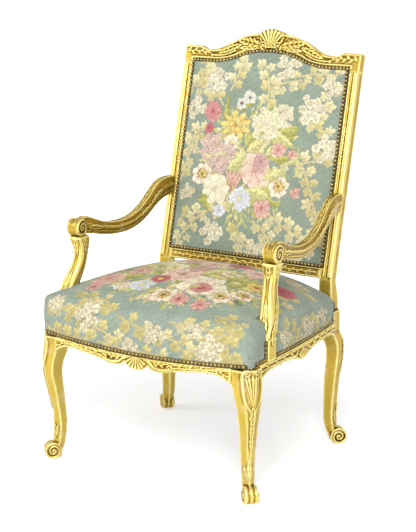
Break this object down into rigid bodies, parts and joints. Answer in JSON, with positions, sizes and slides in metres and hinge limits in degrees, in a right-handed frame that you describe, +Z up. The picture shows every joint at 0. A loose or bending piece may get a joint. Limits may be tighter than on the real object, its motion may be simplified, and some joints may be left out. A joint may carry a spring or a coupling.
{
  "type": "fauteuil",
  "caption": "Open-arm chair with a carved gilt wood frame, cabriole legs, scrolled arms, a domed sprung seat and a raked flat back in flower tapestry.",
  "frame": {"origin": "on the floor, under the middle of the chair's box", "axes": "+Z up, -Y the way the sitter faces, +X to the right of someone who looks at the chair's front"},
  "size_m": [0.6626, 0.6952, 1.101],
  "materials": {
    "gilt_wood": "satin gilding, worn on the high points, darker in the recesses",
    "bare_wood": "plain sawn",
    "tapestry": "woven flower tapestry on a grey-green ground",
    "hessian": "coarse open weave",
    "stuffing": "matted hair",
    "webbing": "close woven strap",
    "black_cloth": "plain weave",
    "back_cloth": "plain weave",
    "spring_steel": "dull drawn wire",
    "nail_brass": "antique, dull on the rims"
  },
  "bodies": {
    "root": {"front_leg_right": "gilt_wood", "front_leg_left": "gilt_wood", "back_post_right": "gilt_wood", "back_post_left": "gilt_wood", "front_seat_rail": "gilt_wood", "side_seat_rail_right": "gilt_wood", "side_seat_rail_left": "gilt_wood", "back_seat_rail": "gilt_wood", "crest_rail": "gilt_wood", "back_lower_rail": "gilt_wood", "arm_right": "gilt_wood", "arm_left": "gilt_wood", "arm_support_right": "gilt_wood", "arm_support_left": "gilt_wood", "corner_block_front_right": "bare_wood", "corner_block_front_left": "bare_wood", "corner_block_back_right": "bare_wood", "corner_block_back_left": "bare_wood", "seat_cover": "tapestry", "back_cover": "tapestry", "seat_hessian": "hessian", "back_hessian": "hessian", "seat_stuffing": "stuffing", "back_stuffing": "stuffing", "seat_webbing_lengthwise": "webbing", "seat_webbing_crosswise": "webbing", "back_webbing_upright": "webbing", "back_webbing_level": "webbing", "bottom_cloth": "black_cloth", "outside_back_cloth": "back_cloth", "seat_spring_1": "spring_steel", "seat_spring_2": "spring_steel", "seat_spring_3": "spring_steel", "seat_spring_4": "spring_steel", "seat_spring_5": "spring_steel", "seat_nails_front": "nail_brass", "seat_nails_right": "nail_brass", "seat_nails_left": "nail_brass", "back_nails": "nail_brass"}
  },
  "joints": []
}
